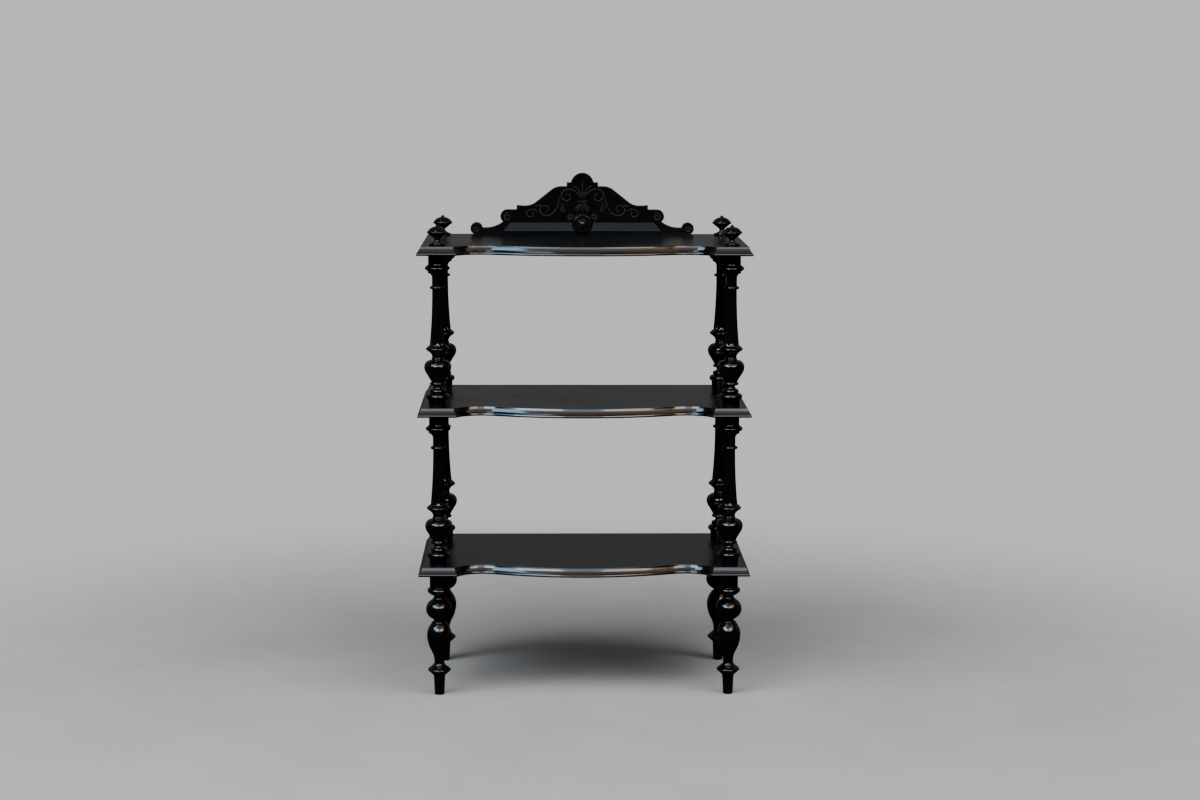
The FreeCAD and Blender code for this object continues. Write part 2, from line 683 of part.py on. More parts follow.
def crest_outline():
    """Half outline of the fretted crest, from the shelf line round the knob and scroll to the lobe.

    The cyma is two arcs of one radius and the line that touches both between them: run and rise are
    its reach, span is the distance between the arcs' centres and tangent the length of the line.
    """
    neck = "crest_knob_neck_share"
    tuck = "crest_scroll_tuck_share"
    scroll_top = "(crest_scroll_height + crest_scroll_radius)"
    run = "(crest_hollow_reach - crest_shoulder_reach)"
    rise = "(crest_shoulder_height - crest_hollow_height - 2 * crest_cyma_radius)"
    span = f"({run} ^ 2 + {rise} ^ 2)"
    tangent = f"sqrt({span} - 4 * crest_cyma_radius ^ 2)"
    sine = f"(({rise} * {tangent} + 2 * crest_cyma_radius * {run}) / {span})"
    cosine = f"(({run} * {tangent} - 2 * crest_cyma_radius * {rise}) / {span})"
    turn_run = f"crest_cyma_radius * {sine}"
    turn_rise = f"crest_cyma_radius * (1 - {cosine})"
    lobe_foot = "sqrt(crest_lobe_radius ^ 2 - (crest_cap_height - crest_lobe_height) ^ 2)"
    corners = [
        ("0", "0"),
        ("(crest_knob_reach + sqrt(crest_knob_radius ^ 2 - crest_knob_height ^ 2))", "0"),
        ("crest_knob_reach", "(crest_knob_height + crest_knob_radius)"),
        (f"(crest_knob_reach - crest_knob_radius * {neck})",
         f"(crest_knob_height + crest_knob_radius * sqrt(1 - {neck} ^ 2))"),
        (f"(crest_scroll_reach + crest_scroll_radius * {tuck})",
         f"(crest_scroll_height - crest_scroll_radius * sqrt(1 - {tuck} ^ 2))"),
        ("crest_scroll_reach", scroll_top),
        ("crest_step_reach", scroll_top),
        ("crest_step_reach", "crest_step_height"),
        ("crest_hollow_reach", "crest_hollow_height"),
        (f"(crest_hollow_reach - {turn_run})", f"(crest_hollow_height + {turn_rise})"),
        (f"(crest_shoulder_reach + {turn_run})", f"(crest_shoulder_height - {turn_rise})"),
        ("crest_shoulder_reach", "crest_shoulder_height"),
        ("crest_cap_reach", "crest_shoulder_height"),
        ("crest_cap_reach", "crest_cap_height"),
        (lobe_foot, "crest_cap_height"),
        ("0", "(crest_lobe_height + crest_lobe_radius)"),
    ]
    bends = [
        None, ("y", "crest_knob_height"), ("y", "crest_knob_height"), ("x", "crest_dip_reach"),
        ("y", "crest_scroll_height"), None, None, ("x", "crest_hollow_reach"), ("x", "crest_hollow_reach"),
        None, ("x", "crest_shoulder_reach"), None, None, None, ("x", "0"),
    ]
    return mirrored(corners, bends)


def crest(label):
    """The fretted board that stands on the back of the top shelf."""
    body = new_body(label)
    outline = draw(sketch_on(body, f"{label}_outline", "XZ_Plane"), *crest_outline())
    extrude(body, "Pad", outline, "crest_thickness", both_ways=True)
    drill_for_dowels(body, f"{label}_dowel_holes", "0", "0", upwards=True)
    return body


def crest_moulding(label, sign):
    """A bevelled base moulding: mitred at its outer end and scribed round the boss at its inner end."""
    profile = [
        ("0", "0"),
        ("-moulding_depth", "0"),
        ("-moulding_depth", "moulding_foot_height"),
        ("-moulding_nose_depth", "moulding_height"),
        ("0", "moulding_height"),
    ]
    start = "moulding_inner_reach" if sign == "" else "-moulding_reach"
    body = new_body(label)
    section = draw(sketch_on(body, f"{label}_section", "YZ_Plane", start), profile, [None] * len(profile))
    extrude(body, "Pad", section, "(moulding_reach - moulding_inner_reach)")
    bevel = "(moulding_height - moulding_foot_height)"
    over_run = f"moulding_mitre_run * ({bevel} + overrun) / {bevel}"
    mitre = [
        (f"{sign}moulding_reach", "moulding_foot_height"),
        (f"{sign}(moulding_reach + overrun)", "moulding_foot_height"),
        (f"{sign}(moulding_reach + overrun)", "(moulding_height + overrun)"),
        (f"{sign}(moulding_reach - {over_run})", "(moulding_height + overrun)"),
    ]
    mitre_sketch = draw(sketch_on(body, f"{label}_mitre", "XZ_Plane"), mitre, [None] * len(mitre))
    through = "2 * (moulding_depth + overrun)"
    extrude(body, "Pocket", mitre_sketch, through, both_ways=True)
    scribe = sketch_on(body, f"{label}_scribe", "XZ_Plane")
    draw_circles(scribe, [("0", "boss_height")], "(boss_radius + moulding_scribe_gap)")
    extrude(body, "Pocket", scribe, through, both_ways=True)
    return body


def faced_forward(body):
    """Lay a turned piece on its back, so that its top faces the front."""
    body.Placement = FreeCAD.Placement(FreeCAD.Vector(), FreeCAD.Rotation(FreeCAD.Vector(1, 0, 0), 90))
    return body


def dowels(label):
    """The hidden dowels of the crest, half in the shelf and half in the crest."""
    pins = []
    for number, (across, along) in enumerate(dowel_places()):
        pin = doc.addObject("Part::Cylinder", f"{label}_{number}")
        pin.setExpression("Radius", tied("dowel_radius"))
        pin.setExpression("Height", tied("2 * dowel_depth"))
        pins.append(place(pin, across, CREST_PLANE, f"{SHELF_TOP['top']} - dowel_depth"))
    group = doc.addObject("Part::Compound", label)
    group.Label = label
    group.Links = pins
    return group


def stand(kind, make, high):
    """One turned piece at each corner: the first is turned, the others follow it."""
    made = []
    for corner, (across, deep) in CORNERS.items():
        label = f"{corner}_{kind}"
        body = twin(label, made[0]) if made else make(label)
        made.append(place(body, across, deep, high))
    return made


pieces = stand("leg", leg, "0")
pieces += stand("lower_column", column, SHELF_TOP["bottom"])
upper = [twin(f"{corner}_upper_column", pieces[len(CORNERS)]) for corner in CORNERS]
for body, (across, deep) in zip(upper, CORNERS.values()):
    pieces.append(place(body, across, deep, SHELF_TOP["middle"]))
pieces += stand("finial", finial, SHELF_TOP["top"])

bottom_shelf = shelf("bottom_shelf")
middle_shelf = twin("middle_shelf", bottom_shelf)
top_shelf = twin("top_shelf", bottom_shelf)
doc.recompute()
drill_for_dowels(top_shelf, "top_shelf_dowel_holes", "shelf_thickness", CREST_PLANE, upwards=False)
for name, body in (("bottom", bottom_shelf), ("middle", middle_shelf), ("top", top_shelf)):
    pieces.append(place(body, high=SHELF_FOOT[name]))

pieces.append(place(crest("crest_board"), deep=CREST_PLANE, high=SHELF_TOP["top"]))
for side, sign in (("left", "-"), ("right", "")):
    moulding = crest_moulding(f"crest_moulding_{side}", sign)
    pieces.append(place(moulding, deep=CREST_FACE, high=SHELF_TOP["top"]))
BOSS_DEPTH = stacked(BOSS_ROWS)
boss = turned("crest_boss", "boss_radius", BOSS_ROWS)
button_socket = "(button_spigot_radius + spigot_clearance)"
bore_socket(boss, button_socket, "(button_spigot_reach + socket_end_gap)", BOSS_DEPTH)
button = turned("crest_button", "button_radius", BUTTON_ROWS, ("button_spigot_radius", "button_spigot_reach"))
boss_high = f"{SHELF_TOP['top']} + boss_height"
pieces.append(place(faced_forward(boss), deep=CREST_FACE, high=boss_high))
pieces.append(place(faced_forward(button), deep=f"{CREST_FACE} - {BOSS_DEPTH}", high=boss_high))
pieces.append(dowels("crest_dowels"))
doc.recompute()

for item in doc.Objects:
    if "Invalid" in item.State or "Error" in item.State:
        raise RuntimeError(f"{item.Label} did not build: {item.State}")
for piece in pieces:
    if piece.Shape.isNull() or not piece.Shape.isValid() or not piece.Shape.Solids:
        raise RuntimeError(f"{piece.Label} is not a sound solid")

os.makedirs("parts", exist_ok=True)
for piece in pieces:
    piece.Shape.exportStep(f"parts/{piece.Label}.step")
    print(f"{piece.Label}: {len(piece.Shape.Solids)} solid, {piece.Shape.Volume:.0f} mm3")
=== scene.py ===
# %% [markdown]
# # A black lacquered etagere
#
# The real piece is a three-tier display stand of ebonised wood: three serpentine shelves with a
# moulded edge, turned columns with fluted shafts, turned legs, cup finials, and a fretted crest with
# incised scrolls. A CAD model already holds its construction, and this script gives it its looks.
#
# The CAD model is loaded as a fixed frame. Every surface made here stands where a CAD node stands,
# and takes over from it with smooth, softly rounded lacquer in place of flat facets. Lengths are
# typed in millimetres, the way a joiner writes them, and MM turns them into Blender's metres.

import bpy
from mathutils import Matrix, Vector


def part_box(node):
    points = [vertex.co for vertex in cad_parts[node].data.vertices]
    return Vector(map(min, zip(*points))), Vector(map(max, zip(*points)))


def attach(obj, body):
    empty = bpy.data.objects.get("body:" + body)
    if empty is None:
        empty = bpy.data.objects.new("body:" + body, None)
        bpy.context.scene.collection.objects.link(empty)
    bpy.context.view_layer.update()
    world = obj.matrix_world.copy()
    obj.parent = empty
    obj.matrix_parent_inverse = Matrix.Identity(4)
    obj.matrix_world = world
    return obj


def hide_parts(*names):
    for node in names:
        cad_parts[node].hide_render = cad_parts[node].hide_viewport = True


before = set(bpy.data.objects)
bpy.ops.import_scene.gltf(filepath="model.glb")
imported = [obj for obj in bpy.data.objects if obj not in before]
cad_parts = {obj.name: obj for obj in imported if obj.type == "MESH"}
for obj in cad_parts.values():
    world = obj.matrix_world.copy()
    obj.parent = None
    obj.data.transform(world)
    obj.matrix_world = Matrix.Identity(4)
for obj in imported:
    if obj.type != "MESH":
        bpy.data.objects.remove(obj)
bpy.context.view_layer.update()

import math

import bpy
import numpy as np
from mathutils import Matrix

MM = 0.001

# %% [markdown]
# ## Shader sums
#
# A finish is worked out from a few textures: how far the lacquer is rubbed, where the grain runs,
# where a cloth has left a haze. Wiring that by hand takes dozens of Math nodes. One small class does
# it instead: it wraps a socket, and writing `1 - haze * 0.3` adds the nodes.

# %% A socket that can be written in sums
class Flow:
    """One output of a node tree. An operator on it adds the Math node that works it out."""

    def __init__(self, tree, socket=None):
        self.tree = tree
        self.socket = socket

    def node(self, kind, settings={}, inputs={}, output=0):
        """Add a node: its settings first, then a value or a link for each socket; gives one output."""
        made = self.tree.nodes.new(kind)
        for name, value in settings.items():
            setattr(made, name, value)
        for name, value in inputs.items():
            if isinstance(value, Flow):
                self.tree.links.new(value.socket, made.inputs[name])
            else:
                made.inputs[name].default_value = value
        return Flow(self.tree, made.outputs[output])

    def sum(self, operation, *terms):
        """A Math node of that operation on the terms."""
        return self.node("ShaderNodeMath", {"operation": operation}, dict(enumerate(terms)))

    def __add__(self, other):
        return self.sum("ADD", self, other)

    def __sub__(self, other):
        return self.sum("SUBTRACT", self, other)

    def __rsub__(self, other):
        return self.sum("SUBTRACT", other, self)

    def __mul__(self, other):
        return self.sum("MULTIPLY", self, other)

    __radd__ = __add__
    __rmul__ = __mul__

    def ramp(self, low, high):
        """0 below low and 1 above high, with a soft S between them."""
        return self.node(
            "ShaderNodeMapRange", {"interpolation_type": "SMOOTHSTEP"},
            {"Value": self, "From Min": low, "From Max": high})

    def blend(self, none, full):
        """The first colour where this is 0 and the second where it is 1."""
        return self.node(
            "ShaderNodeMix", {"data_type": "RGBA"}, {0: self, 6: none, 7: full}, output=2)


def new_material(name):
    """An empty node material with its Principled BSDF, and the start of its sums."""
    material = bpy.data.materials.new(name)
    material.use_nodes = True
    shader = material.node_tree.nodes["Principled BSDF"]
    return material, shader, Flow(material.node_tree)


def feed(shader, **sockets):
    """Fill a shader's sockets: a Flow is linked, a number or a colour is set on the socket."""
    for name, value in sockets.items():
        socket = shader.inputs[name.replace("_", " ")]
        if isinstance(value, Flow):
            value.tree.links.new(value.socket, socket)
        else:
            socket.default_value = value


print("shader sums ready")

# %% [markdown]
# ## Black lacquer
#
# Ebonised wood is stained black and then lacquered, so nearly all that the eye sees is reflection.
# Four things keep it from looking like plastic. The grain sinks a little, and its pores run along
# the board or the turning. Handling leaves a haze that dulls the gloss in soft patches. Fine dust
# lies on whatever faces up, so the shelves are satin while their edges shine. And the lacquer thins
# at the arrises, where brown wood begins to show. Grain and haze are noise, dust reads the surface's
# own direction, and the wear reads `rub`, a number that each mesh carries on its points.

# %% Lacquer finishes
BLACK = (0.0022, 0.0023, 0.0028, 1)
WARM_BLACK = (0.0046, 0.0043, 0.0043, 1)
BARE_BROWN = (0.060, 0.034, 0.021, 1)
HAZE_DULLS, PORES_DULL, WEAR_DULLS = 0.04, 0.04, 0.14
SPECULAR = 0.32
COAT_SMOOTHS = 0.6


def lacquer(name, grain, gloss, dust_dulls, pore_depth, coat):
    """Black lacquer: colour from rub and grain, roughness from haze and dust, bump from the pores.

    grain is the scale of the pore noise on each axis, small along the wood; gloss is the roughness
    of clean lacquer, to which haze, pores, dust and wear each add their own; pore_depth is in
    millimetres.
    """
    material, shader, flow = new_material(name)
    place = flow.node("ShaderNodeTexCoord", output="Object")
    facing = flow.node("ShaderNodeTexCoord", output="Normal")
    upward = flow.node("ShaderNodeSeparateXYZ", {}, {"Vector": facing}, output="Z")
    dust = upward.ramp(0.93, 0.999)
    along = flow.node("ShaderNodeMapping", {}, {"Vector": place, "Scale": grain})
    pores = flow.node(
        "ShaderNodeTexNoise", {}, {"Vector": along, "Scale": 1, "Detail": 5, "Roughness": 0.62})
    haze = flow.node(
        "ShaderNodeTexNoise", {}, {"Vector": place, "Scale": 7, "Detail": 3, "Roughness": 0.5})
    fleck = flow.node("ShaderNodeTexNoise", {}, {"Vector": place, "Scale": 95, "Detail": 2})
    rub = flow.node("ShaderNodeAttribute", {"attribute_name": "rub"}, output="Fac")
    worn = (rub * fleck.ramp(0.40, 0.72)).ramp(0.15, 0.9)
    dulled = haze.ramp(0.38, 0.72) * HAZE_DULLS + pores.ramp(0.55, 0.8) * PORES_DULL
    bump = {"Strength": 0.25, "Distance": pore_depth * MM, "Height": pores + haze * 0.4}
    feed(
        shader,
        Base_Color=worn.blend(pores.ramp(0.35, 0.75).blend(BLACK, WARM_BLACK), BARE_BROWN),
        Roughness=gloss + dulled + dust * dust_dulls + worn * WEAR_DULLS,
        Specular_IOR_Level=SPECULAR,
        Coat_Weight=coat * (1 - worn) * (1 - dust),
        Coat_Roughness=gloss * COAT_SMOOTHS,
        Normal=flow.node("ShaderNodeBump", {}, bump),
    )
    return material


turned_lacquer = lacquer(
    "gloss_black_turnings", grain=(150, 150, 9),
    gloss=0.09, dust_dulls=0.14, pore_depth=0.06, coat=0.25)
shelf_lacquer = lacquer(
    "satin_black_boards", grain=(7, 130, 130),
    gloss=0.11, dust_dulls=0.08, pore_depth=0.08, coat=0.25)
crest_lacquer = lacquer(
    "satin_black_fret", grain=(9, 130, 130),
    gloss=0.13, dust_dulls=0.10, pore_depth=0.08, coat=0.10)
print("lacquers:", [m.name for m in (turned_lacquer, shelf_lacquer, crest_lacquer)])

# %% [markdown]
# ## From arrays to pieces
#
# Every form on this stand is either a profile turned round an axis or a profile carried along an
# outline. Both give rows of points, so one rule makes the faces: each ring of points is joined to
# the next by quads, and a flat face closes the first and the last ring.

# %% Rings of points to a closed mesh
SHARP_ANGLE = math.radians(32)


def ring_faces(rings, around):
    """Quads (i, j), (i, j+1), (i+1, j+1), (i+1, j) between neighbouring rings, and two end faces."""
    i, j = np.mgrid[:rings - 1, :around]
    here, beside = i * around + j, i * around + (j + 1) % around
    quads = np.stack([here, beside, beside + around, here + around], -1)
    first = np.arange(around)[::-1]
    last = np.arange(around) + (rings - 1) * around
    return quads.reshape(-1, 4).tolist() + [first.tolist(), last.tolist()]


def add_piece(name, points, material, node, rub=0.0):
    """Make the mesh of rings x around x 3 points in millimetres, and let it stand for a CAD node."""
    rings, around = points.shape[:2]
    mesh = bpy.data.meshes.new(name)
    mesh.from_pydata((points.reshape(-1, 3) * MM).tolist(), [], ring_faces(rings, around))
    layer = mesh.attributes.new("rub", "FLOAT", "POINT")
    wear = np.broadcast_to(rub, (rings, around)).astype(np.float32)
    layer.data.foreach_set("value", wear.ravel())
    mesh.shade_smooth()
    mesh.set_sharp_from_angle(angle=SHARP_ANGLE)
    mesh.materials.append(material)
    piece = bpy.data.objects.new(name, mesh)
    bpy.context.scene.collection.objects.link(piece)
    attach(piece, "root")
    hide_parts(node)
    return piece


print("ring mesher ready")

# %% [markdown]
# ## Profiles with softened arrises
#
# A turner cuts a profile as a chain of beads, coves and steps. Each cut is a line or an arc, so a
# profile is a list of (rise, radius, bend). Razor edges would look false: lacquer pools and rounds
# every arris. So the profile is walked in equal small steps and averaged under a bell curve, which
# rounds each edge by about half a millimetre. Then points are kept where the profile turns most.

# %% Lines, arcs, softening
WALK = 0.2
TURN_WEIGHT = 9
FULL_RUB = 0.7


def cut(start, stop, bend, count=24):
    """The two ends of a straight cut, or the shorter arc round a centre with one coordinate given.

    The bend is None, or (axis, level): the centre has that level on that axis, and its other
    coordinate is where both ends are equally far away.
    """
    start, stop = np.array(start, float), np.array(stop, float)
    if bend is None:
        return np.stack([start, stop])
    axis, level = bend
    other = 1 - axis
    centre = np.zeros(2)
    centre[axis] = level
    spread = (start ** 2 - stop ** 2).sum() - 2 * level * (start[axis] - stop[axis])
    centre[other] = spread / (2 * (start[other] - stop[other]))
    first, last = (np.arctan2(*(end - centre)[::-1]) for end in (start, stop))
    sweep = (last - first + np.pi) % (2 * np.pi) - np.pi
    angle = first + np.linspace(0, 1, count) * sweep
    return centre + np.hypot(*(start - centre)) * np.stack([np.cos(angle), np.sin(angle)], 1)


def cuts(corners, bends):
    """The cut from each corner to the next."""
    return [cut(start, stop, bend) for start, stop, bend in zip(corners, corners[1:], bends)]


def chain(corners, bends):
    """Corners joined by lines and arcs, as one open run of points."""
    return np.vstack([np.array(corners[:1], float)] + [run[1:] for run in cuts(corners, bends)])


def distance_along(points):
    """How far along the run each point lies."""
    return np.concatenate([[0], np.cumsum(np.hypot(*np.diff(points, axis=0).T))])


def softened(points, blur=0.45, keep=200, hand=1):
    """Equal steps, each averaged with its neighbours under a bell curve, then thinned out.

    Returns the kept points and how sharply the wood turns outwards at each, as rub from 0 to 1,
    which it reaches at FULL_RUB radians to the millimetre. A point's share of the kept ones is its
    step plus TURN_WEIGHT times its turning, so arrises keep most of them. hand is -1 where the
    first coordinate is measured into the wood, because that swaps left and right.
    """
    length = distance_along(points)
    steps = np.linspace(0, length[-1], int(length[-1] / WALK) + 1)
    even = np.stack([np.interp(steps, length, axis) for axis in points.T], 1)
    reach = int(3 * blur / WALK) + 1
    bell = np.exp(-0.5 * (np.arange(-reach, reach + 1) * WALK / blur) ** 2)
    wide = np.pad(even, ((reach, reach), (0, 0)), mode="reflect", reflect_type="odd")
    soft = np.stack([np.convolve(axis, bell / bell.sum(), "valid") for axis in wide.T], 1)
    step = np.diff(soft, axis=0)
    heading = np.unwrap(np.arctan2(step[:, 1], step[:, 0]))
    turning = np.gradient(np.append(heading, heading[-1]))
    share = np.hypot(*step.T) + TURN_WEIGHT * np.abs(turning[1:])
    walk = np.concatenate([[0], np.cumsum(share)])
    kept = np.linspace(0, walk[-1], keep)
    edge = np.clip(hand * turning / WALK / FULL_RUB, 0, 1)
    thinned = np.stack([np.interp(kept, walk, axis) for axis in soft.T], 1)
    return thinned, np.interp(kept, walk, edge)


def turned_profile(first_radius, rows, keep):
    """Rows of (rise, radius, bend) from the seat up, as softened points of (radius, height).

    A "foot" or "head" bend is an arc that stands upright at its lower or upper end, and a "crown"
    is one that ends level.
    """
    corners, bends = [(first_radius, 0.0)], []
    for rise, radius, bend in rows:
        low = corners[-1][1]
        high = low + rise
        bends.append({None: None, "foot": (1, low), "head": (1, high), "crown": (0, radius)}[bend])
        corners.append((radius, high))
    return softened(chain(corners, bends), keep=keep)


def bead(height, radius, seat):
    """Two arcs that meet upright at the widest point of a bead, or the narrowest of a cove."""
    return [(height / 2, radius, "head"), (height / 2, seat, "foot")]


print("profile tools ready")

# %% [markdown]
# ## Columns, legs and finials
#
# The columns are spindle turnings: plinth, bulb, neck, ring, a long tapering shaft, then an astragal
# and a moulded cap. The same list of cuts serves all eight. The shaft is fluted, and a flute is a
# round gouge cut, so the radius at an angle is the distance to the near side of a circle whose
# centre lies outside the shaft. The cut fades in a rounded end just short of each ring.

# %% Turning profiles
COLUMN_FOOT = [
    (16.2, 21.5, None), *bead(13.9, 27.2, 21.5), (0, 15.5, None), *bead(10.4, 19, 15.5),
    (0, 12, None), *bead(9.2, 9.6, 12), (0, 16, None), *bead(6.9, 18.4, 16), (0, 14.5, None),
    (20.4, 26.6, None), (15, 31.5, "head"), (15.9, 16, "foot"), (0, 12.7, None), (1.4, 12.7, None),
    *bead(4, 14.8, 12.7), (14, 20.8, "foot"), (3.7, 25.9, None), (2.8, 27.3, "head"),
    (2.4, 26.2, "foot"), (5.2, 20.4, None), (0, 18.8, None),
]
SHAFT = 130.5
COLUMN_HEAD = [
    (0, 15, None), *bead(6.9, 17.7, 15), (0, 12.3, None), (18.5, 12.3, None), (11.5, 19.5, "foot"),
    (0, 21.6, None), (3.95, 21.6, None), (4, 27.4, None), (3.3, 29, "head"),
    (3, 27.7, "foot"), (5.45, 21, None), (23, 21, None),
]
LEG = [
    (1.8, 11.3, "head"), (44, 13.5, None), (12.1, 26.8, None), (1.2, 26.8, None),
    (3.2, 25.2, "foot"), (7.2, 16, None), (2.4, 14.5, "head"),
    (0, 12.8, None), (6.5, 11.6, "head"), (25.68, 18.32, "foot"), (38.52, 28.4, "head"),
    (27.3, 18.5, "foot"), (0, 15.8, None), *bead(4, 17.6, 15.8), (0, 12.2, None), (4.7, 12.2, None),
    (0, 13, None), (4.9, 19.6, None), (20, 30.6, "head"), (23.3, 15.5, "foot"), (0, 12.2, None),
    *bead(4, 14.6, 12.2), (7.1, 12.2, None), (0, 18, None), (6, 25.3, None), (3.5, 27, "head"),
    (7.8, 21.5, "foot"), (33.8, 21.5, None),
]
FINIAL = [
    (5, 19, None), (0, 13, None), (2.5, 13, None), (0, 11, None), (5, 6.2, "head"), (3, 6.2, None),
    (13, 22.4, None), *bead(4.2, 23.8, 21.6), (10.8, 3.2, "crown"),
    (2, 4.6, "head"), (3.5, 0.3, None),
]
COLUMN = COLUMN_FOOT + [(SHAFT, 12.3, "head")] + COLUMN_HEAD
column_profile = turned_profile(21.5, COLUMN, keep=230)
leg_profile = turned_profile(9.8, LEG, keep=200)
finial_profile = turned_profile(19, FINIAL, keep=130)
profiles = {"column": column_profile, "leg": leg_profile, "finial": finial_profile}
for name, (points, _) in profiles.items():
    print(f"{name}: {points[-1, 1]:.1f} mm high, {points[:, 0].max():.1f} mm in radius")

# %% Turn a profile round its axis
FLUTES = 12
FLUTE_DEPTH, FLUTE_RADIUS = 0.09, 0.4
FLUTE_CLEAR, FLUTE_END = 2.0, 4.0
FLUTE_ANGLES = np.radians([-15, -12.9, -12.4, -10.5, -8, -4, 0, 4, 8, 10.5, 12.4, 12.9])


def gouge(angle):
    """Share of the shaft's radius left by the flutes: the near side of the gouge's circle.

    At an angle a from a circle of radius r at a distance c, it is c cos a - sqrt(r^2 - (c sin a)^2).
    """
    pitch = 2 * np.pi / FLUTES
    off = (angle + pitch / 2) % pitch - pitch / 2
    centre = 1 - FLUTE_DEPTH + FLUTE_RADIUS
    half_chord = np.sqrt(np.maximum(FLUTE_RADIUS ** 2 - (centre * np.sin(off)) ** 2, 0))
    return np.minimum(centre * np.cos(off) - half_chord, 1)


def flute_strength(height):
    """Share of the gouge cut at a height: a quarter round in from each end of the shaft."""
    foot = sum(rise for rise, _, _ in COLUMN_FOOT)
    inside = np.minimum(height - foot - FLUTE_CLEAR, foot + SHAFT - FLUTE_CLEAR - height)
    share = np.clip(inside / FLUTE_END, 0, 1)
    return np.sqrt(1 - (1 - share) ** 2)


def turned_points(profile, fluted=False, around=96):
    """Radius x (cos, sin) of the angle, and height; flutes make the radius vary with the angle."""
    radius, height = profile[:, :1], profile[:, 1:]
    angle = np.linspace(0, 2 * np.pi, around, endpoint=False)
    if fluted:
        angle = (np.arange(FLUTES)[:, None] * 2 * np.pi / FLUTES + FLUTE_ANGLES).ravel()
        radius = radius * (1 - flute_strength(height) * (1 - gouge(angle)))
    return np.stack([radius * np.cos(angle), radius * np.sin(angle), height + 0 * angle], -1)


def stand(node, profile, spigot, fluted=False):
    """Turn a profile and set its shoulder spigot millimetres above its node's lowest point."""
    points, rub = profile
    low, high = (np.array(corner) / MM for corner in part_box(node))
    seat = [(low[0] + high[0]) / 2, (low[1] + high[1]) / 2, low[2] + spigot]
    points = turned_points(points, fluted) + seat
    return add_piece(f"{node}_turning", points, turned_lacquer, node, rub[:, None])


SPIGOT = 48.5
CORNERS = [f"{row}_{side}" for row in ("front", "back") for side in ("left", "right")]
for corner in CORNERS:
    stand(f"{corner}_leg", leg_profile, 0)
    stand(f"{corner}_lower_column", column_profile, SPIGOT, fluted=True)
    stand(f"{corner}_upper_column", column_profile, SPIGOT, fluted=True)
    stand(f"{corner}_finial", finial_profile, SPIGOT)
print("turnings:", 4 * len(CORNERS))

# %% [markdown]
# ## Serpentine shelves
#
# A shelf is one board. Its front bows out between two hollows, and a cove runs up to a square ear at
# each end. A moulded edge goes along the front and the ends: a round nose, a small fillet, a narrow
# ledge, and a hollow bevel that ends in a crisp arris. The back is sawn square. So it is a profile
# carried along an outline, and every point of the profile gives one ring, so far in from the outline.
# Pushing each point straight in would make the rings fold over themselves at the corners. So every
# cut of the outline is moved in by itself, and trimmed where it meets the mitre line of a corner, as
# a joiner trims two lengths of moulding.

# %% Rings inside an outline
def inward(run, plain):
    """Unit vectors to the left of the way along a run, or none where it lies on the plain side."""
    way = np.gradient(run, axis=0, edge_order=min(len(run) - 1, 2))
    left = np.stack([-way[:, 1], way[:, 0]], 1) / np.hypot(*way.T)[:, None]
    return left * np.any(run[:, 1] != plain)


def mitre(before, after):
    """The step in at a corner: the sum of both sides' inward vectors over 1 plus their cosine."""
    return (before + after) / (1 + before @ after)


def beyond(points, line):
    """How far points lie ahead of a mitre line: x times the line's y less y times its x."""
    return points[:, 0] * line[1] - points[:, 1] * line[0]


def trimmed(run, into, start, stop, inset):
    """A run moved in by the inset, cut at its ends' mitre lines and spread evenly between them."""
    moved = run + inset * into
    place = np.linspace(0, 1, len(run))
    after_start = np.maximum.accumulate(beyond(moved - run[0], start))
    after_stop = np.minimum.accumulate(beyond(moved - run[-1], stop)[::-1])[::-1]
    kept = np.linspace(np.interp(0, after_start, place), np.interp(0, after_stop, place), len(run))
    moved = np.stack([np.interp(kept, place, axis) for axis in moved.T], 1)
    moved[[0, -1]] = run[0] + inset * start, run[-1] + inset * stop
    return moved[:-1]


def ring_inside(runs, inset, plain):
    """The closed ring of all runs moved in, apart from those whose second coordinate is plain."""
    into = [inward(run, plain) for run in runs]
    corner = [mitre(into[k - 1][-1], into[k][0]) for k in range(len(runs))]
    return np.vstack([
        trimmed(run, into[k], corner[k], corner[(k + 1) % len(runs)], inset)
        for k, run in enumerate(runs)])


def mirrored(runs):
    """Close half an outline, which starts and stops on the middle line, with its mirror image."""
    return runs + [run[::-1] * [-1, 1] for run in runs[::-1]]


print("ring tools ready")

# %% Shelf outline and edge
WIDTH, DEPTH, THICKNESS = 770.0, 440.0, 20.5
EAR, COVE_SPAN, COVE_DEPTH, HOLLOW, BOW = 90.0, 57.0, 37.0, 90.0, 11.0
SHELF_BACK = (DEPTH + BOW) / 2
SHELF_EDGE = [
    (2, 0), (0.8, 0), (0, 3.2), (0.9, 5.8), (2.8, 6.1), (9.4, THICKNESS), (12, THICKNESS)]
NOSE_CENTRE, HOLLOW_CENTRE = (1, 3.2), (0, -31)


def shelf_half_outline():
    """The right half of the front from its middle, then the ear, the end and the back."""
    half_width, half_depth = WIDTH / 2, SHELF_BACK
    ear_front, ear_inner = BOW - half_depth, half_width - EAR
    dip, rise = ear_inner - COVE_SPAN, COVE_DEPTH + BOW
    share = 1 - HOLLOW / ((dip ** 2 + rise ** 2) / (2 * rise))
    corners = [
        (0, -half_depth), (dip * share, rise * share - half_depth), (dip, ear_front + COVE_DEPTH),
        (ear_inner, ear_front), (half_width, ear_front), (half_width, half_depth), (0, half_depth),
    ]
    return cuts(corners, [(0, 0), (0, dip), (0, dip), None, None, None])


shelf_runs = mirrored(shelf_half_outline())
shelf_edge, shelf_rub = softened(
    chain(SHELF_EDGE, [None, NOSE_CENTRE, None, None, HOLLOW_CENTRE, None]),
    blur=0.3, keep=56, hand=-1)
shelf_rings = np.stack([
    ring_inside(shelf_runs, inset, plain=SHELF_BACK) for inset in shelf_edge[:, 0]])
print("shelf rings:", shelf_rings.shape)

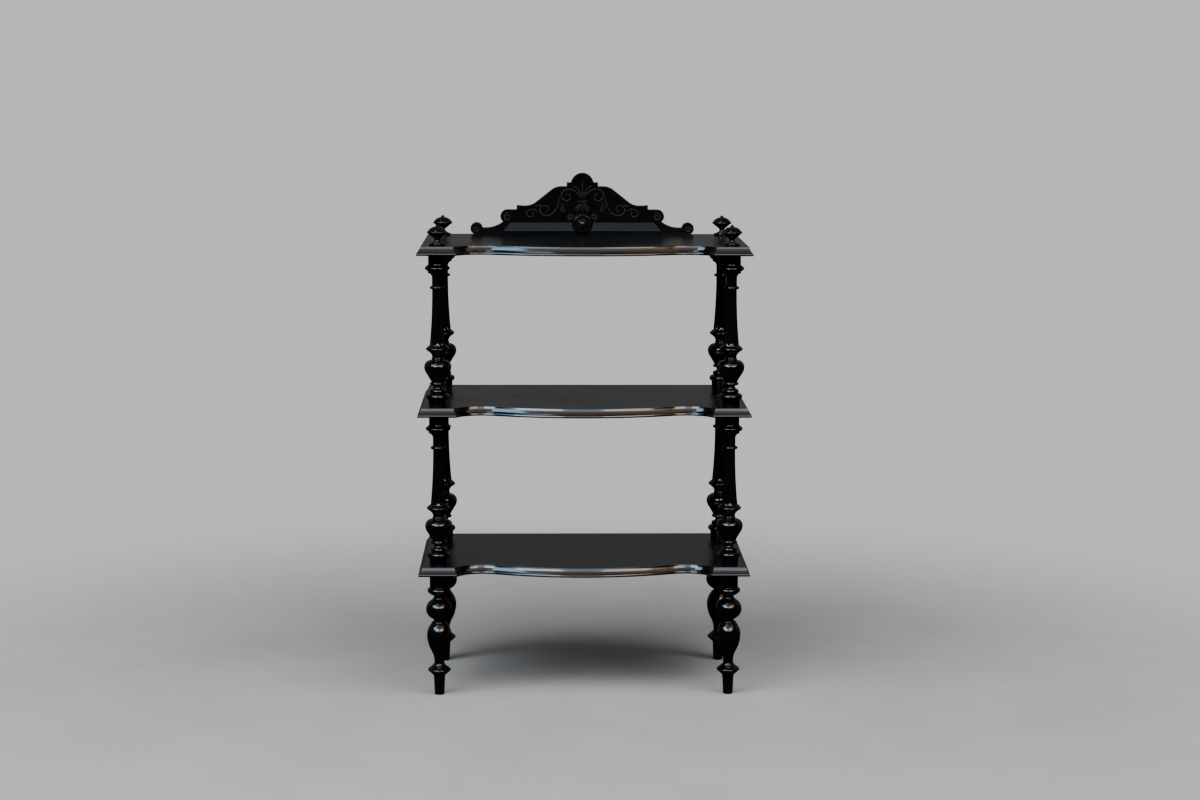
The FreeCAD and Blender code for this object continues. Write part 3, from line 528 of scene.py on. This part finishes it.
# %% Carry the edge round each shelf
def shelf(node):
    """The rings, each lifted to the height of its point of the edge profile."""
    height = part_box(node)[0].z / MM + np.broadcast_to(shelf_edge[:, 1:], shelf_rings.shape[:2])
    points = np.concatenate([shelf_rings, height[..., None]], -1)
    return add_piece(f"{node}_board", points, shelf_lacquer, node, shelf_rub[:, None])


for node in ("bottom_shelf", "middle_shelf", "top_shelf"):
    board = shelf(node)
    print(node, "corners:", len(board.data.vertices))

# %% [markdown]
# ## Crest
#
# The crest is a board sawn to an outline of knobs, scrolls, steps and an ogee, and it stands on the
# back of the top shelf. Its outline is a chain of arcs and lines, as the shelf's is, and its edge is
# only softened, so the same trimmed rings carry a small round over both faces.

# %% Crest outline
CREST_THICKNESS = 18.0
KNOB, SCROLL = (257.5, 13.7, 15.0), (183.0, 43.6, 16.5)
KNOB_END, SCROLL_START = 0.985, 0.62
DIP, STEP = 236.0, (160.0, 70.7)
CYMA = 41.0
FACE_INSET = 2.5


def crest_half_outline():
    """The right half: foot, knob, dip, scroll, step, ogee, shoulder, cap and lobe, up to the middle.

    The ogee is two arcs of one radius and the line that touches both. The dip leaves the knob and
    meets the scroll at the given shares of their radii to the side.
    """
    knob_x, knob_z, knob_r = KNOB
    scroll_x, scroll_z, scroll_r = SCROLL
    hollow, shoulder, cap, lobe = (138.8, 69.4), (51.0, 116.4), (38.3, 126.1), (28.0, 121.0)
    run, rise = hollow[0] - shoulder[0], shoulder[1] - hollow[1] - 2 * CYMA
    span = run ** 2 + rise ** 2
    tangent = math.sqrt(span - 4 * CYMA ** 2)
    across = CYMA * (rise * tangent + 2 * CYMA * run) / span
    up = CYMA - CYMA * (run * tangent - 2 * CYMA * rise) / span
    corners = [
        (0, 0), (knob_x + math.sqrt(knob_r ** 2 - knob_z ** 2), 0), (knob_x, knob_z + knob_r),
        (knob_x - KNOB_END * knob_r, knob_z + knob_r * math.sqrt(1 - KNOB_END ** 2)),
        (scroll_x + SCROLL_START * scroll_r, scroll_z - scroll_r * math.sqrt(1 - SCROLL_START ** 2)),
        (scroll_x, scroll_z + scroll_r), (STEP[0], scroll_z + scroll_r), STEP, hollow,
        (hollow[0] - across, hollow[1] + up), (shoulder[0] + across, shoulder[1] - up), shoulder,
        (cap[0], shoulder[1]), cap, (math.sqrt(lobe[0] ** 2 - (cap[1] - lobe[1]) ** 2), cap[1]),
        (0, lobe[1] + lobe[0]),
    ]
    bends = [
        None, (1, knob_z), (1, knob_z), (0, DIP), (1, scroll_z), None, None,
        (0, hollow[0]), (0, hollow[0]), None, (0, shoulder[0]), None, None, None, (0, 0),
    ]
    return cuts(corners, bends)


crest_runs = mirrored(crest_half_outline())
low, high = (np.array(corner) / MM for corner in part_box("crest_board"))
CREST_EDGE = [(FACE_INSET, 0), (0, 0), (0, CREST_THICKNESS), (FACE_INSET, CREST_THICKNESS)]
crest_edge, crest_rub = softened(chain(CREST_EDGE, [None] * 3), blur=0.5, keep=22, hand=-1)


def crest_points():
    """The rings inside the outline, from the back face to the front face."""
    flat = np.stack([ring_inside(crest_runs, inset, plain=0) for inset in crest_edge[:, 0]])
    deep = np.broadcast_to((high[1] - crest_edge[:, 1])[:, None], flat.shape[:2])
    return np.stack([flat[..., 0], deep, low[2] + flat[..., 1]], -1)


crest_board = add_piece(
    "crest_board_fret", crest_points(), crest_lacquer, "crest_board", crest_rub[:, None])
print("crest corners:", len(crest_board.data.vertices))

# %% [markdown]
# ## Incised scrolls
#
# The face of the crest is cut with scrolls and leaves. A carver draws each line with a V-shaped
# gouge, pressed in and let out again, so a line is widest in its middle. Painting the lines on would
# leave the wood flat, so they are cut: each stroke is a V carried along a curve, all the strokes are
# one cutter, and a Boolean takes it out of the board. The lacquer is thin and dusty in the grooves,
# which is why they look grey against the black.

# %% Curves of the carving
GOUGE_WIDTH, GOUGE_DEPTH = 2.1, 1.2
STEM = [(0, 133), (0, 110), (0, 89)]
PENDANT = [(0, 76), (0, 66), (0, 55)]
TIE = [(-13, 82), (0, 80.5), (13, 82)]
LEAF = [(23, 119), (9.5, 109.5), (4.2, 95)]
UPPER_SCROLL = [
    (1.8, 86), (12, 101), (25, 109.5), (37, 110.5), (47, 105.5), (51.5, 94.5), (46, 85), (37, 82),
    (29.5, 88), (31.5, 97), (39, 98.5), (41.5, 93)]
LOWER_SCROLL = [
    (55.5, 93), (57.5, 79), (62.5, 65), (73.5, 51), (89, 46), (101, 52.5), (103.5, 62), (97, 69.5),
    (88, 69.5), (82, 62.5), (85.5, 55.5), (92.5, 57)]
OUTER_LEAF = [
    (108.5, 55), (116, 61), (126, 61), (134, 56), (136, 49), (129, 43.5), (120, 46), (119.5, 53),
    (125.5, 53.5)]
BUD = [(51.5, 76), (47, 68), (44, 53)]
BUD_LEAF = [(55, 70), (52.5, 62), (48, 55.5)]
UPPER_FAN = [(3.4, 78), (11, 68.5), (20.5, 62)]
LOWER_FAN = [(2.8, 74.5), (8, 64), (16, 55.5)]
SPRIG = [(100.5, 74), (106.5, 70), (114, 69.5)]
# centre, radius, first angle, turns
VOLUTES = [((28, 42.5), 8, -90, 1.4), ((182, 43), 10, 125, -1.5), ((257.5, 14), 8, 60, -1.3)]


def through(corners, count=64):
    """A curve through the corners: between two of them a cubic that has their places and slopes.

    The slope at a corner is that of the parabola through it and its neighbours, over the distance.
    """
    corners = np.array(corners, float)
    reach = distance_along(corners)
    slope = np.gradient(corners, reach, axis=0)
    place = np.linspace(0, reach[-1], count)
    before = np.clip(np.searchsorted(reach, place) - 1, 0, len(reach) - 2)
    gap = np.diff(reach)[before]
    share = ((place - reach[before]) / gap)[:, None]
    near = (1 + 2 * share) * corners[before] + share * gap[:, None] * slope[before]
    far = (3 - 2 * share) * corners[before + 1] + (share - 1) * gap[:, None] * slope[before + 1]
    return (1 - share) ** 2 * near + share ** 2 * far


def volute(centre, radius, start, turns, count=64):
    """A spiral that winds in to a quarter of its radius: centre + radius x (cos, sin) of the angle."""
    share = np.linspace(0, 1, count)[:, None]
    angle = math.radians(start) + 2 * np.pi * turns * share
    return centre + radius * (1 - 0.75 * share) * np.hstack([np.cos(angle), np.sin(angle)])


middle_strokes = [through(stroke) for stroke in (STEM, PENDANT, TIE)]
side_strokes = [
    *(through(stroke) for stroke in (LEAF, UPPER_SCROLL, LOWER_SCROLL, OUTER_LEAF)),
    *(through(stroke) for stroke in (BUD, BUD_LEAF, UPPER_FAN, LOWER_FAN, SPRIG)),
    *(volute(*winding) for winding in VOLUTES),
]
strokes = middle_strokes + side_strokes + [stroke * [-1, 1] for stroke in side_strokes]
print("strokes:", len(strokes))

# %% Groove sections
def groove(stroke):
    """A five-sided section carried along the stroke: a V below the face and a square above it.

    The width at a share t of the way is that of the gouge times 1 - (2t - 1)^6, and no less than a
    fifth of it.
    """
    ahead = np.gradient(stroke, axis=0)
    ahead /= np.hypot(*ahead.T)[:, None]
    across = np.stack([-ahead[:, 1], ahead[:, 0]], 1)[:, None]
    width = np.maximum(1 - np.linspace(-1, 1, len(stroke)) ** 6, 0.2)[:, None]
    side = GOUGE_WIDTH / 2 * np.array([1, -1, -1, 0, 1])
    deep = np.array([-1, -1, 0, GOUGE_DEPTH, 0])
    flat = stroke[:, None] + width[..., None] * side[:, None] * across
    deep = np.where(deep > 0, width * deep, deep)
    return np.stack([flat[..., 0], low[1] + deep, low[2] + flat[..., 1]], -1)


def joined(grids):
    """The points and faces of several ring meshes as one mesh."""
    starts = np.cumsum([0] + [grid[..., 0].size for grid in grids])
    faces = [
        [corner + int(start) for corner in face]
        for grid, start in zip(grids, starts) for face in ring_faces(*grid.shape[:2])]
    return np.vstack([grid.reshape(-1, 3) for grid in grids]), faces


print("longest stroke:", round(max(distance_along(stroke)[-1] for stroke in strokes), 1), "mm")

# %% Dust in the grooves
PACKED_DUST, LOOSE_DUST = (0.014, 0.015, 0.017, 1), (0.028, 0.030, 0.034, 1)
groove_grey, shader, flow = new_material("dusty_grooves")
place = flow.node("ShaderNodeTexCoord", output="Object")
crumbs = flow.node("ShaderNodeTexNoise", {}, {"Vector": place, "Scale": 160, "Detail": 3})
feed(
    shader,
    Base_Color=crumbs.ramp(0.3, 0.7).blend(PACKED_DUST, LOOSE_DUST),
    Roughness=0.55 + crumbs * 0.3)
print("groove finish:", groove_grey.name)

# %% Cut the grooves
groove_points, groove_cells = joined([groove(stroke) for stroke in strokes])
groove_mesh = bpy.data.meshes.new("carving_cutter")
groove_mesh.from_pydata((groove_points * MM).tolist(), [], groove_cells)
groove_mesh.materials.append(crest_lacquer)
groove_mesh.materials.append(groove_grey)
groove_mesh.polygons.foreach_set("material_index", np.ones(len(groove_mesh.polygons), np.int32))
cutter = bpy.data.objects.new("carving_cutter", groove_mesh)
bpy.context.scene.collection.objects.link(cutter)
crest_board.data.materials.append(groove_grey)
carve = crest_board.modifiers.new("carving", "BOOLEAN")
carve.operation, carve.solver, carve.object = "DIFFERENCE", "EXACT", cutter
graph = bpy.context.evaluated_depsgraph_get()
carved = bpy.data.meshes.new_from_object(crest_board.evaluated_get(graph))
crest_board.modifiers.clear()
crest_board.data = carved
carved.set_sharp_from_angle(angle=SHARP_ANGLE)
bpy.data.objects.remove(cutter)
in_grooves = sum(face.material_index for face in carved.polygons)
print("carved faces:", in_grooves, "of", len(carved.polygons))

# %% Keep wear off the carved face
FACE_TOLERANCE = 0.01
place = np.empty(3 * len(carved.vertices), np.float32)
carved.vertices.foreach_get("co", place)
on_face = place[1::3] < (low[1] + FACE_TOLERANCE) * MM
rub = np.empty(len(carved.vertices), np.float32)
carved.attributes["rub"].data.foreach_get("value", rub)
carved.attributes["rub"].data.foreach_set("value", np.where(on_face, 0, rub).astype(np.float32))
print("points on the carved face:", on_face.sum())

# %% [markdown]
# ## Moulding, boss and button at the foot of the crest
#
# A bevelled moulding is planted along the foot of the crest, mitred at its outer ends and scribed to
# a turned boss in the middle. It is a profile carried along a straight line, whose two ends depend on
# the height: the outer one leans in with the mitre and the inner one follows the boss's circle. Boss
# and button are turnings that lie on their backs.

# %% Moulding
MOULDING_REACH, MITRE_RUN = 190.7, 15.9
MOULDING_DEPTH, BEVEL_FOOT, BEVEL_TOP, MOULDING_HEIGHT = 14, 9.9, 2, 28.7
BOSS_RADIUS, BOSS_HEIGHT = 25.5, 26.1
SCRIBE_GAP, HIDDEN_END = 0.3, 12
SMALL_RUB = 0.2
MOULDING_EDGE = [
    (0, 0), (MOULDING_DEPTH, 0), (MOULDING_DEPTH, BEVEL_FOOT), (BEVEL_TOP, MOULDING_HEIGHT),
    (0, MOULDING_HEIGHT)]
moulding_edge, moulding_rub = softened(chain(MOULDING_EDGE, [None] * 4), blur=0.4, keep=70)


def moulding_points(side):
    """Each point of the section at eight places from its inner to its outer end."""
    deep, height = moulding_edge.T
    gap = (BOSS_RADIUS + SCRIBE_GAP) ** 2 - (height - BOSS_HEIGHT) ** 2
    inner = np.maximum(np.sqrt(np.maximum(gap, 0)), HIDDEN_END)
    lean = np.maximum(height - BEVEL_FOOT, 0) / (MOULDING_HEIGHT - BEVEL_FOOT)
    outer = MOULDING_REACH - MITRE_RUN * lean
    along = np.linspace(inner, outer, 8)
    points = np.stack([side * along, low[1] - deep + 0 * along, low[2] + height + 0 * along], -1)
    return points[::side * -1]


for side, name in ((-1, "left"), (1, "right")):
    piece = add_piece(
        f"crest_moulding_{name}_bevel", moulding_points(side), crest_lacquer, f"crest_moulding_{name}",
        moulding_rub * SMALL_RUB)
    print(piece.name, len(piece.data.vertices), "points")

# %% Boss and button
BOSS = [
    (10, BOSS_RADIUS, None), (5, 21, None), (0, 18.5, None), (-0.4, 11, None), (0.9, 11, None),
    (0, 4, None)]
BUTTON_RADIUS = 9.0
BUTTON = [(1.5, BUTTON_RADIUS, None), (5.5, 1.5, "crown")]


def lay_back(profile, seat):
    """Turn a profile and lay it on its back, so that its height runs to the front from the seat."""
    x, y, z = np.moveaxis(turned_points(profile, around=72), -1, 0)
    return np.stack([x, seat - z, low[2] + BOSS_HEIGHT + y], -1)


boss_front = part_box("crest_boss")[0].y / MM
for node, radius, rows, seat, finish in (
    ("crest_boss", BOSS_RADIUS, BOSS, low[1], crest_lacquer),
    ("crest_button", BUTTON_RADIUS, BUTTON, boss_front, turned_lacquer)):
    points, rub = turned_profile(radius, rows, keep=70)
    piece = add_piece(
        f"{node}_turning", lay_back(points, seat), finish, node, rub[:, None] * SMALL_RUB)
    print(piece.name, np.round([piece.bound_box[0][:], piece.bound_box[6][:]], 4).tolist())

# %% [markdown]
# ## Hidden dowels
#
# Two dowels hold the crest to the shelf. They are inside the wood, so the CAD solids stay, in a
# plain beech whose grain runs along the pin.

# %% Beech
LIGHT_BEECH, DARK_BEECH = (0.62, 0.45, 0.28, 1), (0.48, 0.32, 0.18, 1)
beech, shader, flow = new_material("bare_beech")
place = flow.node("ShaderNodeTexCoord", output="Object")
along = flow.node("ShaderNodeMapping", {}, {"Vector": place, "Scale": (400, 400, 30)})
grain = flow.node("ShaderNodeTexNoise", {}, {"Vector": along, "Scale": 1, "Detail": 4})
feed(
    shader,
    Base_Color=grain.ramp(0.3, 0.7).blend(LIGHT_BEECH, DARK_BEECH),
    Roughness=0.55 + grain * 0.2)
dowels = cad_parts["crest_dowels"]
dowels.data.materials.clear()
dowels.data.materials.append(beech)
print("dowels in", beech.name)

# %% [markdown]
# ## Floor and light
#
# Black gloss shows only what it reflects, so the light is the finish. Two windows stand high in front,
# a cool one on the left and a warm one on the right, and every bead and bulb carries them as twin
# highlights. A pale pier stands between and beside them, brown beams run above it, and over the beams
# lies a cool strip of ceiling: beams and strip give the bevels their two bands. A bright pane on the
# left lights the bow of the shelves, and a small skylight over it the domes of the finials. All of
# these are seen in reflections alone, and their feet are high, so upright faces and shelf tops look
# under them and stay dark. The wall behind the stand is pale and the rest of the room is dark. The
# background that the camera sees is plain pale grey from every side.

# %% Floor
FLOOR_REACH = 2.6
FADE_FROM, FADE_TO = 0.7, 2.4
FLOOR_DIM, FLOOR_PALE = (0.50, 0.495, 0.49, 1), (0.56, 0.555, 0.55, 1)


def floor_grid(count=3):
    """A flat square grid of points at floor level."""
    x, y = np.meshgrid(*[np.linspace(-FLOOR_REACH, FLOOR_REACH, count)] * 2)
    return np.stack([x, y, 0 * x], -1).reshape(-1, 3)


def quad_faces(count=3):
    """Quads of a square grid with count points on each side."""
    i, j = np.mgrid[:count - 1, :count - 1]
    corner = i * count + j
    return np.stack([corner, corner + 1, corner + count + 1, corner + count], -1).reshape(-1, 4)


floor_mesh = bpy.data.meshes.new("studio_floor")
floor_mesh.from_pydata(floor_grid().tolist(), [], quad_faces().tolist())
floor = bpy.data.objects.new("studio_floor", floor_mesh)
bpy.context.scene.collection.objects.link(floor)
floor.visible_glossy = False
pale, shader, flow = new_material("pale_floor")
place = flow.node("ShaderNodeTexCoord", output="Object")
reach = flow.node("ShaderNodeVectorMath", {"operation": "LENGTH"}, {0: place}, output="Value")
far = reach.ramp(FADE_FROM, FADE_TO)
cloud = flow.node(
    "ShaderNodeTexNoise", {}, {"Vector": place, "Scale": 3, "Detail": 8, "Roughness": 0.7})
feed(
    shader,
    Base_Color=cloud.ramp(0.3, 0.7).blend(FLOOR_DIM, FLOOR_PALE),
    Roughness=0.5 + cloud * 0.3)
lit = Flow(flow.tree, shader.outputs["BSDF"])
gone = flow.node("ShaderNodeBsdfTransparent")
faded = flow.node("ShaderNodeMixShader", {}, {0: far, 1: lit, 2: gone})
flow.tree.links.new(faded.socket, flow.tree.nodes["Material Output"].inputs["Surface"])
floor_mesh.materials.append(pale)
print("floor", floor.name)

# %% Directions round the room
world = bpy.data.worlds.new("studio")
bpy.context.scene.world = world
world.use_nodes = True
flow = Flow(world.node_tree)
direction = flow.node("ShaderNodeTexCoord", output="Generated")
aside, away, up = (
    flow.node("ShaderNodeSeparateXYZ", {}, {"Vector": direction}, output=axis) for axis in "XYZ")
bearing = flow.sum("ARCTAN2", aside, 0 - away) * math.degrees(1)


def between(value, rise, fall):
    """1 from the end of the rise to the start of the fall, 0 outside them, with a soft S at each."""
    return value.ramp(*rise) * (1 - value.ramp(*fall))


print("world", world.name)

# %% What the lacquer sees
SIDE_LIFT = 0.1
PANE_FACING, PANE_TOP = (0.375, 0.927), 1.165
wall = away.ramp(-0.05, 0.35) * up.ramp(-0.06, 0.0)
lift = bearing.ramp(24, 40) + 1 - bearing.ramp(-48, -34)
pier = (up - lift * SIDE_LIFT).ramp(0.31, 0.36) * (1 - up.ramp(0.56, 0.62))
pier = pier * between(bearing, (-66, -60), (48, 54))
beams = between(up, (0.56, 0.62), (0.82, 0.86)) * between(bearing, (-38, -34), (64, 72))
strip = between(up, (0.82, 0.86), (0.91, 0.94)) * between(bearing, (-18, -12), (12, 18))
skylight = between(up, (0.76, 0.80), (0.93, 0.95)) * between(bearing, (-50, -44), (-26, -20))
over_pane = up + (aside * PANE_FACING[0] + away * PANE_FACING[1]) * PANE_TOP
pane = (1 - over_pane.ramp(-0.015, 0.015)) * up.ramp(0.46, 0.52)
pane = pane * between(bearing, (-68, -62), (-39, -35))
print("reflected: pier, beams, strip, skylight, pane")

# %% Colours of the room
DARK_ROOM, PALE_WALL = (0.010, 0.010, 0.011, 1), (0.115, 0.116, 0.118, 1)
COOL_PIER, WARM_PIER = (3.6, 4.8, 6.2, 1), (4.4, 3.5, 2.7, 1)
LOW_BEAMS, HIGH_BEAMS = (2.3, 1.45, 0.95, 1), (1.4, 0.84, 0.47, 1)
STRIP, SKYLIGHT, PANE = (0.74, 0.92, 1.08, 1), (3.4, 4.4, 5.4, 1), (6.5, 12.0, 17.5, 1)
BACKDROP = (0.68, 0.68, 0.675, 1)
gloss = flow.node("ShaderNodeLightPath", output="Is Glossy Ray")
seen = flow.node("ShaderNodeLightPath", output="Is Camera Ray")
room = wall.blend(DARK_ROOM, PALE_WALL)
for patch, colour in (
    (pier, bearing.ramp(18, 38).blend(COOL_PIER, WARM_PIER)),
    (beams, up.ramp(0.60, 0.84).blend(LOW_BEAMS, HIGH_BEAMS)),
    (strip, STRIP), (skylight, SKYLIGHT), (pane, PANE)):
    room = (gloss * patch).blend(room, colour)
feed(world.node_tree.nodes["Background"], Color=seen.blend(room, BACKDROP), Strength=1.0)
print("world nodes:", len(world.node_tree.nodes))

# %% Soft boxes
TARGET = np.array([0, 0, 0.65])


def soft_box(name, bearing, elevation, distance, size, power, colour, lights="gloss"):
    """A rectangular light that faces the target from a bearing right of the front and an elevation.

    One that lights the gloss is seen only in reflections, and one that lights the room only as
    diffuse light. The way out to it is (sin b cos e, -cos b cos e, sin e).
    """
    light = bpy.data.lights.new(name, "AREA")
    light.shape = "RECTANGLE"
    light.size, light.size_y = size
    light.energy = power
    light.color = colour
    lamp = bpy.data.objects.new(name, light)
    bearing, elevation = math.radians(bearing), math.radians(elevation)
    level = math.cos(elevation)
    out = np.array([math.sin(bearing) * level, -math.cos(bearing) * level, math.sin(elevation)])
    side = np.array([math.cos(bearing), math.sin(bearing), 0])
    turn = np.stack([side, np.cross(out, side), out], 1)
    lamp.matrix_world = Matrix.LocRotScale(
        (TARGET + distance * out).tolist(), Matrix(turn.tolist()).to_quaternion(), None)
    lamp.visible_diffuse, lamp.visible_glossy = lights == "room", lights == "gloss"
    bpy.context.scene.collection.objects.link(lamp)
    return lamp


lamps = [
    soft_box(
        "cool_window", bearing=-25, elevation=24, distance=4.2, size=(1.8, 0.8), power=72,
        colour=(0.78, 0.92, 1.0)),
    soft_box(
        "warm_window", bearing=26, elevation=25, distance=4.2, size=(1.9, 0.9), power=47,
        colour=(1.0, 0.94, 0.88)),
    soft_box(
        "room_left", bearing=-40, elevation=45, distance=4.0, size=(3.0, 3.0), power=150,
        colour=(0.95, 0.98, 1.0), lights="room"),
    soft_box(
        "room_right", bearing=40, elevation=55, distance=4.0, size=(3.0, 3.0), power=120,
        colour=(1.0, 0.98, 0.95), lights="room"),
]
print("lamps:", [lamp.name for lamp in lamps])

# %% [markdown]
# ## Camera
#
# The camera stands where the photographer stood. Its place and its angles were worked out from the
# corners of the shelves, the finials and the feet, so the frame of 1200 by 800 lines up.

# %% Camera
FRAME_WIDTH, FOCAL_PIXELS = 1200, 2584.1
SENSOR = 36
CAMERA_PLACE = (-0.0978, -6.0893, 1.4958)
YAW, PITCH, ROLL = 1.294, 7.686, 0.166


def camera_turn(yaw, pitch, roll):
    """Right, up and back vectors of a camera that looks along +Y, turned right, tipped and rolled."""
    yaw, pitch, roll = np.radians([yaw, pitch, roll])
    level = math.cos(pitch)
    ahead = np.array([math.sin(yaw) * level, math.cos(yaw) * level, -math.sin(pitch)])
    right = np.array([math.cos(yaw), -math.sin(yaw), 0])
    over = np.cross(right, ahead)
    return np.stack([
        right * math.cos(roll) + over * math.sin(roll),
        over * math.cos(roll) - right * math.sin(roll), -ahead], 1)


camera = bpy.data.objects.new("camera", bpy.data.cameras.new("camera"))
camera.data.sensor_width = SENSOR
camera.data.lens = SENSOR * FOCAL_PIXELS / FRAME_WIDTH
turn = Matrix(camera_turn(YAW, PITCH, ROLL).tolist())
camera.matrix_world = Matrix.LocRotScale(CAMERA_PLACE, turn.to_quaternion(), None)
bpy.context.scene.collection.objects.link(camera)
bpy.context.scene.camera = camera
print("lens", round(camera.data.lens, 2), "mm")
